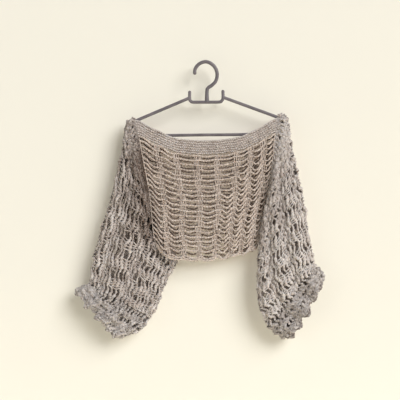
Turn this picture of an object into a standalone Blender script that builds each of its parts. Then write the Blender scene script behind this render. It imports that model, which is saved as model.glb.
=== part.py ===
"""Crochet blouse hanging on a tubular coat hanger.

World units are metres. The mount under the hook's crown is the origin, +Z is up and the front faces -Y.
Tables are in millimetres, in the columns that each one names.
"""

import math

import bpy
from mathutils import Vector

MM = 0.001

# Cloth
WALL = 2.6
SEAM_GAP = 0.3
ROW_RIB = 1.1
CLUSTER_RIB = 0.9
STITCH_ROWS = 22
BAND_SHARE = 0.115
BAND_ROWS = 3

# Body
ARMHOLE_TOP_LEFT = -154.0
ARMHOLE_TOP_RIGHT = -143.0
ARMPIT = -360.0
ARMHOLE_HALF_DEPTH = 14.0
CLUSTERS = (0.08, 0.25, 0.42, 0.59, 0.74, 0.87)
HEM_SCALLOP = 4.0

# Places of a panel's points from side to side, closer where its folds are
PANEL_COLUMNS = (
    *(0.00, 0.03, 0.06, 0.10, 0.14, 0.18, 0.22, 0.27, 0.33, 0.39, 0.45, 0.51),
    *(0.57, 0.62, 0.66, 0.70, 0.74, 0.78, 0.81, 0.84, 0.87, 0.91, 0.94, 0.97, 1.00),
)

# Side edges of the body: share of the way down, left x, right x
BODY_SIDES = (
    (0.00, -200, 211),
    (0.15, -187, 201),
    (0.33, -175, 195),
    (0.54, -160, 186),
    (0.76, -151, 169),
    (0.92, -145, 161),
    (1.00, -137, 158),
)

# Neck edge: x, z
NECK_EDGE = (
    (-200, -160),
    (-182, -164),
    (-159, -179),
    (-128, -191),
    (-109, -202),
    (-80, -212),
    (-33, -217),
    (1, -218),
    (39, -217),
    (79, -212),
    (110, -205),
    (136, -192),
    (165, -179),
    (188, -164),
    (211, -153),
)

# Hem: share of the way across, z
HEM = (
    (0.00, -524),
    (0.09, -547),
    (0.21, -556),
    (0.36, -557),
    (0.46, -558),
    (0.57, -553),
    (0.70, -547),
    (0.86, -536),
    (0.96, -524),
    (1.00, -515),
)

# Depth of the hollow before and behind the hanger's plane: share down, front, back
BODY_DEPTH = (
    (0.00, 9, 8),
    (0.20, 13, 9),
    (0.50, 19, 11),
    (0.80, 21, 12),
    (1.00, 19, 11),
)

# Body folds: share across at the top and at the hem, half width, share down from and to, depth, sag of the rows
FRONT_FOLDS = (
    (0.06, 0.10, 0.030, 0.15, 1.00, 5.0, 3.0),
    (0.14, 0.21, 0.035, 0.10, 0.90, 4.0, 3.0),
    (0.22, 0.36, 0.040, 0.05, 0.80, 3.0, 2.0),
    (0.45, 0.50, 0.060, 0.40, 1.00, 2.5, 2.0),
    (0.66, 0.64, 0.028, 0.35, 1.00, 4.0, 6.0),
    (0.78, 0.74, 0.026, 0.20, 1.00, 5.0, 7.0),
    (0.88, 0.85, 0.026, 0.10, 1.00, 6.0, 7.0),
    (0.97, 0.95, 0.022, 0.05, 1.00, 5.0, 4.0),
)
BACK_FOLDS = (
    (0.05, 0.08, 0.030, 0.10, 1.00, 4.0, 4.0),
    (0.17, 0.22, 0.035, 0.15, 0.95, 4.5, 5.0),
    (0.33, 0.36, 0.045, 0.30, 1.00, 3.0, 3.0),
    (0.55, 0.53, 0.055, 0.35, 1.00, 2.5, 2.0),
    (0.72, 0.69, 0.035, 0.15, 1.00, 4.0, 5.0),
    (0.84, 0.82, 0.028, 0.10, 0.95, 5.0, 6.0),
    (0.94, 0.93, 0.025, 0.08, 1.00, 4.0, 4.0),
)

# Sleeve sections from armhole to cuff edge: outer x, z, inner x, z, half depth, y outer, y inner, wave
# The cuff starts at the tenth one
SLEEVE_LEFT = (
    (-203, ARMHOLE_TOP_LEFT, -165, ARMPIT, ARMHOLE_HALF_DEPTH, 0, 0, 0),
    (-217, -161, -156, -404, 15, 0, 12, 2),
    (-225, -185, -143, -451, 17, 0, 18, 4),
    (-232, -239, -112, -515, 18, -2, 22, 6),
    (-247, -305, -84, -556, 20, -4, 24, 7),
    (-267, -388, -84, -575, 22, -6, 22, 8),
    (-287, -454, -103, -609, 23, -6, 18, 8),
    (-307, -526, -119, -641, 24, -5, 14, 9),
    (-321, -590, -133, -682, 24, -4, 10, 8),
    (-328, -626, -156, -724, 23, -2, 6, 6),
    (-346, -638, -180, -755, 24, -2, 4, 7),
    (-361, -644, -214, -770, 26, -1, 2, 9),
    (-365, -653, -256, -784, 25, 0, 0, 11),
)
SLEEVE_RIGHT = (
    (215, ARMHOLE_TOP_RIGHT, 189, ARMPIT, ARMHOLE_HALF_DEPTH, 0, 0, 0),
    (230, -150, 182, -405, 15, 0, -10, 2),
    (241, -178, 168, -451, 17, 0, -16, 4),
    (247, -230, 161, -503, 18, 0, -17, 6),
    (260, -288, 156, -549, 20, -2, -16, 7),
    (273, -348, 153, -595, 22, -4, -12, 8),
    (285, -411, 152, -641, 23, -5, -11, 8),
    (296, -483, 156, -684, 24, -5, -10, 9),
    (308, -546, 171, -721, 23, -4, -7, 8),
    (315, -580, 186, -750, 22, -3, -4, 6),
    (328, -588, 204, -768, 23, -2, -3, 7),
    (338, -602, 226, -780, 25, -1, -2, 9),
    (340, -622, 252, -781, 24, 0, 0, 11),
)
SLEEVE_POINTS = 32
SLEEVE_STEPS = 18
SLEEVE_RIBS = 7
CUFF_STEPS = 6
CUFF_FROM = 0.75
CUFF_GAP = 0.0014
CUFF_LUMP = 5.0
CUFF_LUMPS = 4
CUFF_WALL = 4.0
FOLDS_ROUND_SLEEVE = 3
CLEAR_OF_BODY = 3.2
HOLLOW_SHARE = 0.9

# Hanger
HOOK_RADIUS = 4.2
YOKE_RADIUS = 3.6
ARM_RADIUS = 3.3
BAR_RADIUS = 3.2
HOOK_ROUTE = (
    (-28, -24),
    (-27, -13),
    (-19, -1),
    (-8, 6),
    (4, 8.5),
    (16, 5),
    (28, -5),
    (35, -19),
    (36, -34),
    (31, -49),
    (20, -60),
    (10, -67),
    (7, -77),
    (7, -103.6),
)
YOKE_ROUTE = (
    (-42.5, -80),
    (-42.5, -98.5),
    (-39.5, -104.5),
    (-33, -107.5),
    (-10, -107.5),
    (18, -107.5),
    (43, -107),
    (49.5, -103.5),
    (53, -96),
    (53, -78),
)
ARM_LEFT_ROUTE = ((-47.8, -97.5), (-208, -165.5))
ARM_RIGHT_ROUTE = ((58.1, -95.3), (217, -153.4))
BAR_ROUTE = (
    (-204, -169.1),
    (-203, -178),
    (-195, -188),
    (-178, -197),
    (-150, -202.5),
    (-110, -203),
    (0, -201.5),
    (100, -200.5),
    (150, -197.5),
    (188, -188),
    (205, -176),
    (211, -166),
    (212, -156.5),
)


def smooth_step(value):
    """0 to 1 with level ends."""
    value = min(max(value, 0.0), 1.0)
    return value * value * (3.0 - 2.0 * value)


def curve_through(values, place):
    """A smooth value at a place counted in steps of the list."""
    last = len(values) - 1
    place = min(max(place, 0.0), float(last))
    index = min(int(place), last - 1)
    part = place - index
    before = values[max(index - 1, 0)]
    start = values[index]
    end = values[index + 1]
    after = values[min(index + 2, last)]
    rise = 0.5 * (end - before)
    fall = 0.5 * (after - start)
    square = part * part
    cube = square * part
    return (
        (2.0 * cube - 3.0 * square + 1.0) * start
        + (cube - 2.0 * square + part) * rise
        + (3.0 * square - 2.0 * cube) * end
        + (cube - square) * fall
    )


def look_up(table, key, column):
    """The column's value where the first column reaches the key, eased between rows."""
    rows = len(table)
    if key <= table[0][0]:
        return table[0][column]
    for index in range(rows - 1):
        if key <= table[index + 1][0]:
            part = (key - table[index][0]) / (table[index + 1][0] - table[index][0])
            return curve_through([row[column] for row in table], index + part)
    return table[-1][column]


def section_of(table, share):
    """One sleeve section, with every column read at a share of the way along."""
    place = share * (len(table) - 1)
    return [curve_through([row[column] for row in table], place) for column in range(len(table[0]))]


def armhole_depth(z, top):
    """Half the armhole's width in Y at a height, nothing below the armpit."""
    centre = 0.5 * (top + ARMPIT)
    reach = (z - centre) / (0.5 * (top - ARMPIT))
    return ARMHOLE_HALF_DEPTH * math.sqrt(max(1.0 - reach * reach, 0.0))


def fold_effect(folds, across, down):
    """How far the folds push a panel out and let its rows sag."""
    push = 0.0
    sag = 0.0
    for top, hem, width, start, end, depth, drop in folds:
        middle = top + (hem - top) * down
        shape = math.exp(-(((across - middle) / width) ** 2))
        length = smooth_step((down - start) / 0.18) * smooth_step((end - down) / 0.12 + 0.55)
        push += depth * shape * length
        sag += drop * shape * length
    return push, sag


def body_point(side, across, down):
    """Inner face of a panel. side is -1 on the front and 1 on the back."""
    left = look_up(BODY_SIDES, down, 1)
    right = look_up(BODY_SIDES, down, 2)
    x = left + (right - left) * across
    top_x = BODY_SIDES[0][1] + (BODY_SIDES[0][2] - BODY_SIDES[0][1]) * across
    top = look_up(NECK_EDGE, top_x, 1)
    z = top + (look_up(HEM, across, 1) - top) * down
    folds = FRONT_FOLDS if side < 0 else BACK_FOLDS
    push, sag = fold_effect(folds, across, down)
    edge = smooth_step(across / 0.07) * smooth_step((1.0 - across) / 0.07)
    level = smooth_step(down / 0.2)
    z -= sag * edge * level
    z -= HEM_SCALLOP * (1.0 - near_cluster(across)) * edge * smooth_step((down - 0.94) / 0.06)
    belly = 1.0 - (2.0 * across - 1.0) ** 4
    armhole = armhole_depth(z, ARMHOLE_TOP_LEFT if across < 0.5 else ARMHOLE_TOP_RIGHT)
    near_side = 1.0 - smooth_step(min(across, 1.0 - across) / 0.22)
    depth = look_up(BODY_DEPTH, down, 1 if side < 0 else 2) * belly
    depth = max(depth, 0.0) * (1.0 - near_side * armhole / ARMHOLE_HALF_DEPTH) + armhole * near_side
    return Vector((x, side * (0.5 * SEAM_GAP + depth + push * edge), z))


def near_cluster(across):
    """1 on a cluster column, falling to 0 beside it."""
    return max(max(0.0, 1.0 - abs(across - middle) / 0.045) for middle in CLUSTERS)


def body_relief(across, down):
    """Raised rows and cluster columns of the crochet net."""
    row = (down - BAND_SHARE) / (1.0 - BAND_SHARE) * STITCH_ROWS
    rib = ROW_RIB * (0.5 - 0.5 * math.cos(2.0 * math.pi * row))
    return rib + CLUSTER_RIB * near_cluster(across)


def band_relief(across, down):
    """Raised close rows of the neck band."""
    return ROW_RIB * (0.5 - 0.5 * math.cos(2.0 * math.pi * BAND_ROWS * down / BAND_SHARE))


def seam_x(hand, z):
    """X of the body's side edge at a height. hand is -1 on the left and 1 on the right."""
    top = NECK_EDGE[0 if hand < 0 else -1][1]
    hem = HEM[0 if hand < 0 else -1][1]
    down = (z - top) / (hem - top)
    return look_up(BODY_SIDES, down, 1 if hand < 0 else 2)


def body_reach(side, x, z):
    """Y of a panel's inner face at a place seen from the front, and how far inside the side edge it lies."""
    down = 0.5
    across = 0.5
    for _ in range(6):
        left = look_up(BODY_SIDES, down, 1)
        right = look_up(BODY_SIDES, down, 2)
        across = min(max((x - left) / (right - left), 0.0), 1.0)
        top_x = BODY_SIDES[0][1] + (BODY_SIDES[0][2] - BODY_SIDES[0][1]) * across
        top = look_up(NECK_EDGE, top_x, 1)
        down = min(max((z - top) / (look_up(HEM, across, 1) - top), 0.0), 1.0)
    inside = min(x - left, right - x)
    return body_point(side, across, down).y, inside


def sleeve_point(table, side, round_share, along):
    """Inner face of a sleeve. side is 1 where the sleeve's inner part lies behind the body, else -1."""
    outer_x, outer_z, inner_x, inner_z, half, y_outer, y_inner, wave = section_of(table, along)
    angle = 2.0 * math.pi * round_share
    share = 0.5 - 0.5 * math.cos(angle)
    x = outer_x + (inner_x - outer_x) * share
    z = outer_z + (inner_z - outer_z) * share
    seam = seam_x(table[0][0], z) + math.copysign(2.0 * SEAM_GAP, table[0][0])
    x = seam + (x - seam) * (1.0 - max(1.0 - along / 0.07, 0.0) ** 2)
    swell = abs(math.sin(angle)) ** 0.8
    centre = y_outer + (y_inner - y_outer) * smooth_step((share - 0.3) / 0.4)
    turn = 2.0 * math.pi * FOLDS_ROUND_SLEEVE * share + 1.5 * along
    near = centre - side * (half * swell + wave * swell * math.sin(turn + 0.9))
    far = centre + side * (half * swell + wave * swell * math.sin(turn + 2.6))
    reach, inside = body_reach(side, x, z)
    start = smooth_step((along - 0.02) / 0.10) * smooth_step((-330.0 - z) / 30.0)
    bare = side * reach + CLEAR_OF_BODY + 2.0 * WALL + ROW_RIB + CLUSTER_RIB + 1.1 * min(inside, 0.0)
    near = side * soft_max(side * near, bare, start)
    far = side * soft_max(side * far, side * near + HOLLOW_SHARE * half * swell, 1.0)
    front = math.sin(angle)
    y = near if front * side > 0.0 else far
    phase = 0.9 if front > 0.0 else 2.6
    lump = CUFF_LUMP * math.sin(2.0 * math.pi * CUFF_LUMPS * share + phase) * smooth_step((along - 0.8) / 0.2)
    across_line = Vector((outer_z - inner_z, 0.0, inner_x - outer_x)).normalized()
    return Vector((x, y, z)) + across_line * math.copysign(lump * abs(front), table[0][0])


def soft_max(value, least, weight):
    """The larger of two values with a soft corner, blended in by a weight."""
    gap = value - least
    larger = least + 0.5 * (gap + math.sqrt(gap * gap + 4.0))
    return value + (larger - value) * weight


def sleeve_relief(_, along):
    """Raised cross clusters of the sleeve's net."""
    return CLUSTER_RIB * max(0.0, math.cos(2.0 * math.pi * SLEEVE_RIBS * along)) * smooth_step(along / 0.1)


def outward(point_at, across, down, turn):
    """The unit normal of a surface, turned outwards."""
    step = 0.004
    along_u = point_at(across + step, down) - point_at(across - step, down)
    low = min(down + step, 1.0)
    high = max(down - step, 0.0)
    along_v = point_at(across, low) - point_at(across, high)
    return along_u.cross(along_v).normalized() * turn


def spread(start, end, steps):
    """Even places from start to end, both included."""
    return [start + (end - start) * index / steps for index in range(steps + 1)]


def bridge(first, second):
    """Triangles between two runs of points that share their ends' places but not their number."""
    faces = []
    i = 0
    j = 0
    while i < len(first) - 1 or j < len(second) - 1:
        share_i = (i + 1) / (len(first) - 1)
        share_j = (j + 1) / (len(second) - 1)
        if share_i <= share_j:
            faces.append((first[i], first[i + 1], second[j]))
            i += 1
        else:
            faces.append((first[i], second[j + 1], second[j]))
            j += 1
    return faces


def add_mesh(name, points, faces, material):
    """A mesh object in the blouse's collection, with its faces turned outwards."""
    mesh = bpy.data.meshes.new(name)
    mesh.from_pydata([point * MM for point in points], [], faces)
    mesh.update()
    volume = 0.0
    mesh.calc_loop_triangles()
    for triangle in mesh.loop_triangles:
        a, b, c = (mesh.vertices[index].co for index in triangle.vertices)
        volume += a.dot(b.cross(c))
    if volume < 0.0:
        mesh.flip_normals()
    thing = bpy.data.objects.new(name, mesh)
    thing.data.materials.append(material)
    COLLECTION.objects.link(thing)
    return thing


def cloth_wall(name, point_at, relief, columns, rows, material, turn, closed, skip=1):
    """A cloth wall: a raised outer grid over a plain inner one with every skip-th row."""
    inner_rows = rows[::skip]
    if inner_rows[-1] != rows[-1]:
        inner_rows = inner_rows + [rows[-1]]
    points = []
    outer = []
    inner = []
    for down in rows:
        outer.append([])
        for across in columns:
            normal = outward(point_at, across, down, turn)
            outer[-1].append(len(points))
            points.append(point_at(across, down) + normal * (WALL + relief(across, down)))
    for down in inner_rows:
        inner.append([])
        for across in columns:
            inner[-1].append(len(points))
            points.append(point_at(across, down))
    width = len(columns)
    spans = [(c, (c + 1) % width) for c in range(width if closed else width - 1)]
    faces = []
    for r in range(len(rows) - 1):
        for c, d in spans:
            faces.append((outer[r][c], outer[r][d], outer[r + 1][d], outer[r + 1][c]))
    for r in range(len(inner_rows) - 1):
        for c, d in spans:
            faces.append((inner[r][d], inner[r][c], inner[r + 1][c], inner[r + 1][d]))
    for c, d in spans:
        faces.append((inner[0][c], inner[0][d], outer[0][d], outer[0][c]))
        faces.append((outer[-1][c], outer[-1][d], inner[-1][d], inner[-1][c]))
    if not closed:
        faces += bridge([row[0] for row in outer], [row[0] for row in inner])
        faces += [face[::-1] for face in bridge([row[-1] for row in outer], [row[-1] for row in inner])]
    return add_mesh(name, points, faces, material)


def panel(name, side, material):
    """The front or the back below its neck band."""
    gap = SEAM_GAP / 340.0
    rows = spread(BAND_SHARE + gap, 1.0, 2 * STITCH_ROWS)
    columns = PANEL_COLUMNS
    return cloth_wall(
        name,
        lambda across, down: body_point(side, across, down),
        body_relief,
        columns,
        rows,
        material,
        side,
        False,
        4,
    )


def neck_band(name, side, material):
    """The close band on one side of the neck."""
    rows = spread(0.0, BAND_SHARE, 2 * BAND_ROWS)
    columns = PANEL_COLUMNS
    return cloth_wall(
        name,
        lambda across, down: body_point(side, across, down),
        band_relief,
        columns,
        rows,
        material,
        side,
        False,
        2,
    )


def tube_of_cloth(name, table, side, rows, relief, material):
    """A sleeve or a cuff through its table's sections."""
    columns = [index / SLEEVE_POINTS for index in range(SLEEVE_POINTS)]

    def point_at(round_share, along):
        return sleeve_point(table, side, round_share, along)

    turn = 1 if table[0][0] < 0.0 else -1
    return cloth_wall(name, point_at, relief, columns, rows, material, turn, True)


def tube(name, route, radius, sides, material, steps=0):
    """A round tube along a route in the hanger's plane."""
    if steps:
        route = [
            (
                curve_through([x for x, _ in route], place),
                curve_through([z for _, z in route], place),
            )
            for place in spread(0.0, len(route) - 1, steps)
        ]
    curve = bpy.data.curves.new(name, "CURVE")
    curve.dimensions = "3D"
    curve.bevel_depth = radius * MM
    curve.bevel_resolution = sides
    curve.use_fill_caps = True
    spline = curve.splines.new("POLY")
    spline.points.add(len(route) - 1)
    for point, (x, z) in zip(spline.points, route):
        point.co = (x * MM, 0.0, z * MM, 1.0)
    thing = bpy.data.objects.new(name, curve)
    thing.data.materials.append(material)
    COLLECTION.objects.link(thing)
    return thing


def finish(name, colour, roughness):
    """A plain material of one colour."""
    material = bpy.data.materials.new(name)
    material.use_nodes = True
    shader = material.node_tree.nodes["Principled BSDF"]
    shader.inputs["Base Color"].default_value = (*colour, 1.0)
    shader.inputs["Roughness"].default_value = roughness
    return material


for old in list(bpy.data.objects):
    bpy.data.objects.remove(old)
COLLECTION = bpy.data.collections.new("crochet_blouse")
bpy.context.scene.collection.children.link(COLLECTION)


def build():
    """Makes every piece of the blouse and its hanger."""
    panel("front", -1, finish("front cotton yarn", (0.48, 0.40, 0.34), 0.9))
    panel("back", 1, finish("back cotton yarn", (0.40, 0.33, 0.28), 0.9))
    neck_band("neck_band_front", -1, finish("front band yarn", (0.42, 0.36, 0.31), 0.9))
    neck_band("neck_band_back", 1, finish("back band yarn", (0.38, 0.33, 0.29), 0.9))
    for hand, table, side in (("left", SLEEVE_LEFT, 1), ("right", SLEEVE_RIGHT, -1)):
        yarn = finish(f"{hand} sleeve yarn", (0.43, 0.38, 0.35), 0.9)
        rows = spread(0.0, CUFF_FROM, SLEEVE_STEPS)
        tube_of_cloth(f"sleeve_{hand}", table, side, rows, sleeve_relief, yarn)
        yarn = finish(f"{hand} cuff yarn", (0.46, 0.42, 0.39), 0.9)
        rows = spread(CUFF_FROM + CUFF_GAP, 1.0, CUFF_STEPS)
        tube_of_cloth(f"cuff_{hand}", table, side, rows, cuff_relief, yarn)
    tube("hanger_hook", HOOK_ROUTE, HOOK_RADIUS, 2, finish("hook plastic", (0.16, 0.14, 0.15), 0.5), 26)
    tube("hanger_yoke", YOKE_ROUTE, YOKE_RADIUS, 2, finish("yoke plastic", (0.15, 0.13, 0.14), 0.5))
    arm = finish("left arm plastic", (0.15, 0.13, 0.14), 0.5)
    tube("hanger_arm_left", ARM_LEFT_ROUTE, ARM_RADIUS, 2, arm)
    arm = finish("right arm plastic", (0.15, 0.13, 0.14), 0.5)
    tube("hanger_arm_right", ARM_RIGHT_ROUTE, ARM_RADIUS, 2, arm)
    tube("hanger_bar", BAR_ROUTE, BAR_RADIUS, 2, finish("bar plastic", (0.14, 0.12, 0.14), 0.5), 24)


def cuff_relief(_, along):
    """Raised lumps of the close ruffled cuff."""
    share = (along - CUFF_FROM) / (1.0 - CUFF_FROM)
    return (CUFF_WALL - WALL + 0.9 * abs(math.sin(math.pi * 2.0 * share))) * smooth_step(share / 0.15)


build()
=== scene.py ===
"""Looks of a crochet blouse on its coat hanger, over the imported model.

Tables and sizes are in millimetres, as in the part's source, and every mesh is made in metres.
"""

import logging
import math
from dataclasses import dataclass
from enum import Enum
from functools import partial
from typing import Callable, Sequence

import bpy
import numpy as np
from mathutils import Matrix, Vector


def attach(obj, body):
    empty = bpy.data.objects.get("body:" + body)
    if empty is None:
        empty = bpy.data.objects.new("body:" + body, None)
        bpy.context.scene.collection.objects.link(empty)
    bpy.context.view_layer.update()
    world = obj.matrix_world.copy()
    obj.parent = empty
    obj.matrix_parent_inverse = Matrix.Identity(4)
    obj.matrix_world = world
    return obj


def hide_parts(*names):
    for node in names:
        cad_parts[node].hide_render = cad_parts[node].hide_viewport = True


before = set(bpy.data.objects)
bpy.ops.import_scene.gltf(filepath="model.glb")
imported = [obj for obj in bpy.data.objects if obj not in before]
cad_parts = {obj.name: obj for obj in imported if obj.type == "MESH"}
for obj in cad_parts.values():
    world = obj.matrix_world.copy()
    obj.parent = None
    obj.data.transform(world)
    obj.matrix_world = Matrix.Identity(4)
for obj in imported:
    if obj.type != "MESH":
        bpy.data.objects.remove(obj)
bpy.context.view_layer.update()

MM = 0.001
WALL_Y = 48.5
Floats = np.ndarray
Amount = Floats | float
Surface = Callable[[Floats, Floats], tuple[Floats, Floats]]
Feeds = dict[str | int, object]
LOG = logging.getLogger("blouse")


class Face(Enum):
    """Which side of the body a panel is on."""

    FRONT = -1
    BACK = 1


class Hand(Enum):
    """Which side of the picture a sleeve is on."""

    LEFT = -1
    RIGHT = 1


# Helpers for numbers


def smooth_step(value: Floats) -> Floats:
    """0 to 1 with level ends."""
    value = np.clip(value, 0.0, 1.0)
    return value * value * (3.0 - 2.0 * value)


def curve_through(values: Sequence[float], place: Floats) -> Floats:
    """Smooth values read between the entries of a list.

    Args:
        values: the list that the curve passes through.
        place: where to read, counted in steps of the list.

    Returns:
        One value for each place.
    """
    line = np.asarray(values, float)
    last = len(line) - 1
    place = np.clip(place, 0.0, last)
    index = np.minimum(place.astype(int), last - 1)
    part = place - index
    before = line[np.maximum(index - 1, 0)]
    start = line[index]
    end = line[index + 1]
    after = line[np.minimum(index + 2, last)]
    square = part * part
    cube = square * part
    return (
        (2.0 * cube - 3.0 * square + 1.0) * start
        + (cube - 2.0 * square + part) * 0.5 * (end - before)
        + (3.0 * square - 2.0 * cube) * end
        + (cube - square) * 0.5 * (after - start)
    )


def look_up(table: Sequence[Sequence[float]], key: Floats, column: int) -> Floats:
    """A table's column where its first column reaches the key.

    Args:
        table: rows in the order of their first column.
        key: values of the first column.
        column: which column is wanted.

    Returns:
        One value for each key, eased between rows.
    """
    keys = np.array([row[0] for row in table], float)
    index = np.clip(np.searchsorted(keys, key, side="left") - 1, 0, len(keys) - 2)
    part = np.clip((key - keys[index]) / (keys[index + 1] - keys[index]), 0.0, 1.0)
    return curve_through([row[column] for row in table], index + part)


def wander(random: np.random.Generator, place: Floats, size: float, waves: float) -> Floats:
    """A smooth uneven line round zero.

    Args:
        random: the seeded source of its phases.
        place: 0 to 1 along the line.
        size: how far it strays.
        waves: about how many waves it has.

    Returns:
        One offset for each place.
    """
    total = np.zeros_like(place)
    for share in (0.6, 1.0, 1.7):
        phase, stretch = random.uniform(0.0, 2.0 * math.pi), random.uniform(0.8, 1.2)
        total += np.sin(2.0 * math.pi * waves * share * stretch * place + phase) / 2.2
    return size * total


def unit(vectors: Floats) -> Floats:
    """Each row made one long."""
    return vectors / np.maximum(np.linalg.norm(vectors, axis=1, keepdims=True), 1e-9)


def linear(code: str) -> tuple[float, float, float, float]:
    """Linear colour of an sRGB hex code.

    Args:
        code: six hex digits after a hash sign.

    Returns:
        Red, green, blue and one for alpha.
    """
    parts = [int(code[i : i + 2], 16) / 255.0 for i in (1, 3, 5)]
    red, green, blue = (p / 12.92 if p <= 0.04045 else ((p + 0.055) / 1.055) ** 2.4 for p in parts)
    return red, green, blue, 1.0


def feed(tree: bpy.types.NodeTree, node: bpy.types.Node, feeds: Feeds) -> None:
    """Fills a node's inputs.

    Args:
        tree: the tree that the node is in.
        node: the node.
        feeds: for each input, the socket that is linked to it or the value it holds.
    """
    for name, source in feeds.items():
        if isinstance(source, bpy.types.NodeSocket):
            tree.links.new(source, node.inputs[name])
        else:
            node.inputs[name].default_value = source


def add_node(tree: bpy.types.NodeTree, kind: str, feeds: Feeds, **settings: object) -> bpy.types.Node:
    """Adds one node to a shader or a geometry tree.

    Args:
        tree: the tree that gets it.
        kind: the node's type name.
        feeds: for each input, the socket that is linked to it or the value it holds.
        settings: the node's own properties.

    Returns:
        The node.
    """
    node = tree.nodes.new(kind)
    for name, value in settings.items():
        setattr(node, name, value)
    feed(tree, node, feeds)
    return node


def new_material(name: str) -> tuple[bpy.types.Material, bpy.types.NodeTree, bpy.types.Node]:
    """Starts a finish.

    Args:
        name: the finish's name.

    Returns:
        The material, its tree and its Principled shader.
    """
    material = bpy.data.materials.new(name)
    material.use_nodes = True
    tree = material.node_tree
    return material, tree, tree.nodes["Principled BSDF"]


# Finishes


@dataclass(frozen=True)
class CottonYarn:
    """Dull mercerised cotton yarn, plied and crocheted by hand."""

    name: str
    light: str
    middle: str
    deep: str

    def material(self) -> bpy.types.Material:
        """Makes the yarn's material.

        Returns:
            A rough cloth with soft sheen, whose colour follows the tone of each strand.
        """
        material, tree, shader = new_material(self.name)
        add = partial(add_node, tree)
        place = add("ShaderNodeTexCoord", {}).outputs["Object"]
        tone = add("ShaderNodeAttribute", {}, attribute_name="tone").outputs["Fac"]
        # Plies catch the light in turn, so the colour is mottled every 5 to 8 mm along a strand
        plies = add("ShaderNodeTexNoise", {"Vector": place, "Scale": 150.0, "Detail": 2.0, "Roughness": 0.6})
        # Larger patches of handling and dye, about 60 mm across
        patches = add("ShaderNodeTexNoise", {"Vector": place, "Scale": 16.0, "Detail": 1.0})
        spread = add("ShaderNodeMath", {0: plies.outputs[0], 1: 0.9, 2: -0.45}, operation="MULTIPLY_ADD")
        drift = add("ShaderNodeMath", {0: patches.outputs[0], 1: 0.4, 2: -0.2}, operation="MULTIPLY_ADD")
        both = add("ShaderNodeMath", {0: spread.outputs[0], 1: drift.outputs[0]}, operation="ADD")
        total = add("ShaderNodeMath", {0: both.outputs[0], 1: tone}, operation="ADD", use_clamp=True)
        ramp = add("ShaderNodeValToRGB", {"Fac": total.outputs[0]})
        stops = ramp.color_ramp.elements
        stops[0].position, stops[0].color = 0.05, linear(self.deep)
        stops[1].position, stops[1].color = 0.95, linear(self.light)
        between = stops.new(0.5)
        between.color = linear(self.middle)
        # Fibres are about 0.02 mm; drawn at 1.2 mm so that a close view shows them
        fibres = add("ShaderNodeTexNoise", {"Vector": place, "Scale": 800.0, "Detail": 3.0, "Roughness": 0.7})
        bump = add("ShaderNodeBump", {"Height": fibres.outputs[0], "Strength": 0.6, "Distance": 0.0006})
        feed(
            tree,
            shader,
            {
                "Base Color": ramp.outputs["Color"],
                "Normal": bump.outputs["Normal"],
                "Roughness": 0.85,
                "Sheen Weight": 0.25,
                "Sheen Roughness": 0.5,
                "IOR": 1.45,
                "Specular IOR Level": 0.25,
                # Light soaks some 3 mm into loosely spun cotton, which softens the dark of the gaps
                "Subsurface Weight": 0.3,
                "Subsurface Radius": (1.0, 0.85, 0.7),
                "Subsurface Scale": 0.003,
            },
        )
        return material


@dataclass(frozen=True)
class MouldedPlastic:
    """Polypropylene, moulded with a fine satin skin."""

    name: str
    body: str
    worn: str

    def material(self) -> bpy.types.Material:
        """Makes the plastic's material.

        Returns:
            A satin plastic with slightly cloudy colour and a fine moulded grain.
        """
        material, tree, shader = new_material(self.name)
        add = partial(add_node, tree)
        place = add("ShaderNodeTexCoord", {}).outputs["Object"]
        # Flow of the melt clouds the colour every 30 mm or so
        clouds = add("ShaderNodeTexNoise", {"Vector": place, "Scale": 35.0, "Detail": 3.0})
        ramp = add("ShaderNodeValToRGB", {"Fac": clouds.outputs[0]})
        stops = ramp.color_ramp.elements
        stops[0].position, stops[0].color = 0.35, linear(self.body)
        stops[1].position, stops[1].color = 0.7, linear(self.worn)
        # Spark-etched grain of the mould, 0.5 mm
        grain = add("ShaderNodeTexNoise", {"Vector": place, "Scale": 2000.0, "Detail": 1.0})
        bump = add("ShaderNodeBump", {"Height": grain.outputs[0], "Strength": 0.25, "Distance": 0.0002})
        colour, normal = ramp.outputs["Color"], bump.outputs["Normal"]
        feed(tree, shader, {"Base Color": colour, "Normal": normal, "Roughness": 0.42, "IOR": 1.49})
        return material


@dataclass(frozen=True)
class PaintedWall:
    """Matt cream wall paint, seen from the front only so that the back of the blouse shows from behind."""

    name: str
    paint: str

    def material(self) -> bpy.types.Material:
        """Makes the wall's material.

        Returns:
            A matt paint whose back is clear.
        """
        material, tree, shader = new_material(self.name)
        feed(tree, shader, {"Base Color": linear(self.paint), "Roughness": 0.95, "Specular IOR Level": 0.0})
        behind = add_node(tree, "ShaderNodeNewGeometry", {}).outputs["Backfacing"]
        clear = add_node(tree, "ShaderNodeBsdfTransparent", {})
        mix = add_node(tree, "ShaderNodeMixShader", {0: behind, 1: shader.outputs[0], 2: clear.outputs[0]})
        feed(tree, tree.nodes["Material Output"], {"Surface": mix.outputs[0]})
        return material


# Round stock along routes


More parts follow.
